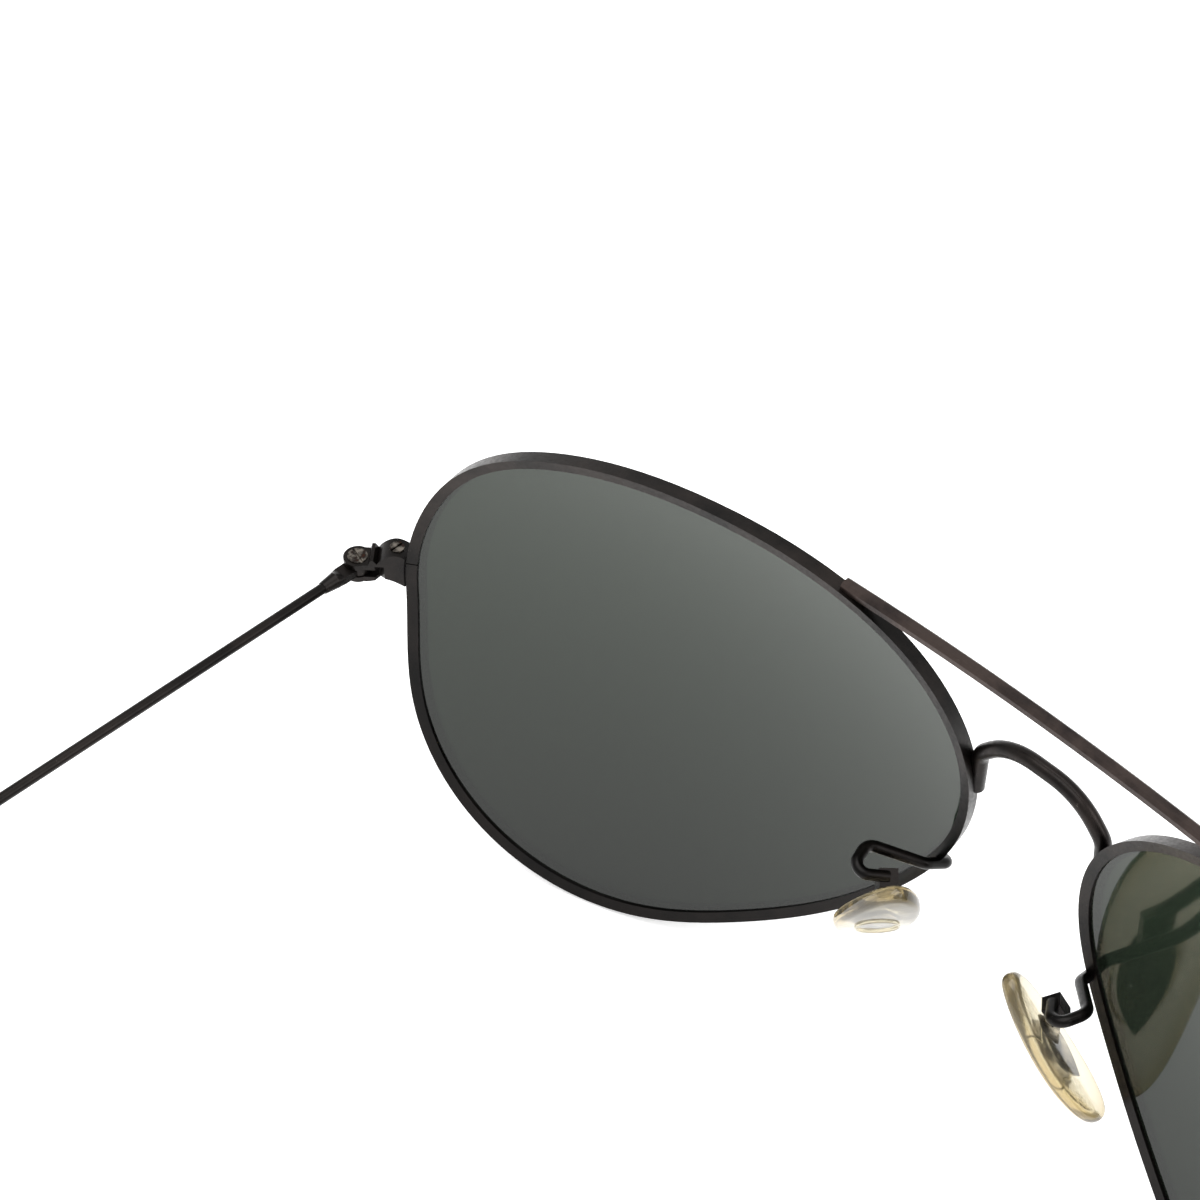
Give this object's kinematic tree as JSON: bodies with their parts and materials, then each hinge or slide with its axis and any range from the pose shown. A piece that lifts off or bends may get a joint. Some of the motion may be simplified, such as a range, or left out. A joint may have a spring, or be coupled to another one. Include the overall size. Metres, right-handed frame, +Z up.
{
  "type": "aviator sunglasses",
  "caption": "Teardrop-lens sunglasses with thin wire rims, brow bar, arched bridge, rocking nose pads and folding wire temples.",
  "frame": {"origin": "on the table, under the middle of the bounding box", "axes": "+Z up, the lenses face -Y, the open temples run back along +Y, +X is the wearer's left"},
  "size_m": [0.1378, 0.1468, 0.0515],
  "materials": {
    "black_frame_metal": "satin black plating over nickel alloy, worn bright at the edges",
    "worn_screw_steel": "blackened steel, bright in the slots",
    "pad_core_metal": "polished nickel, partly tarnished",
    "clear_pad_plastic": "clear soft plastic, yellowed at the rim",
    "green_lens_glass": "grey-green tinted mineral glass, polished",
    "black_tip_plastic": "polished black cellulose"
  },
  "bodies": {
    "front": {"brow_bar": "black_frame_metal", "bridge": "black_frame_metal", "rim_left": "black_frame_metal", "lens_left": "green_lens_glass", "closing_block_lower_left": "black_frame_metal", "closing_block_upper_left": "black_frame_metal", "rim_screw_left": "worn_screw_steel", "hinge_leaf_left": "black_frame_metal", "hinge_screw_left": "worn_screw_steel", "pad_arm_left": "black_frame_metal", "pad_box_left": "black_frame_metal", "pad_pin_left": "worn_screw_steel", "rim_right": "black_frame_metal", "lens_right": "green_lens_glass", "closing_block_lower_right": "black_frame_metal", "closing_block_upper_right": "black_frame_metal", "rim_screw_right": "worn_screw_steel", "hinge_leaf_right": "black_frame_metal", "hinge_screw_right": "worn_screw_steel", "pad_arm_right": "black_frame_metal", "pad_box_right": "black_frame_metal", "pad_pin_right": "worn_screw_steel"},
    "temple_left": {"temple_knuckle_left": "black_frame_metal", "temple_wire_left": "black_frame_metal", "temple_tip_left": "black_tip_plastic"},
    "temple_right": {"temple_knuckle_right": "black_frame_metal", "temple_wire_right": "black_frame_metal", "temple_tip_right": "black_tip_plastic"},
    "pad_left": {"pad_core_left": "pad_core_metal", "nose_pad_left": "clear_pad_plastic"},
    "pad_right": {"pad_core_right": "pad_core_metal", "nose_pad_right": "clear_pad_plastic"}
  },
  "joints": [
    {"name": "temple_left_fold", "type": "hinge", "parent": "front", "child": "temple_left", "pos_m": [0.06745, -0.05381, 0.03104], "axis": [0, 0, 1], "range_deg": [0, 89]},
    {"name": "temple_right_fold", "type": "hinge", "parent": "front", "child": "temple_right", "pos_m": [-0.06745, -0.05381, 0.03104], "axis": [0, 0, -1], "range_deg": [0, 84]},
    {"name": "pad_left_rock", "type": "hinge", "parent": "front", "child": "pad_left", "pos_m": [0.00977, -0.06475, 0.02598], "axis": [-0.6373, -0.7614, -0.1183], "range_deg": [-5, 5]},
    {"name": "pad_right_rock", "type": "hinge", "parent": "front", "child": "pad_right", "pos_m": [-0.00977, -0.06475, 0.02598], "axis": [-0.6373, 0.7614, 0.1183], "range_deg": [-5, 5]}
  ]
}
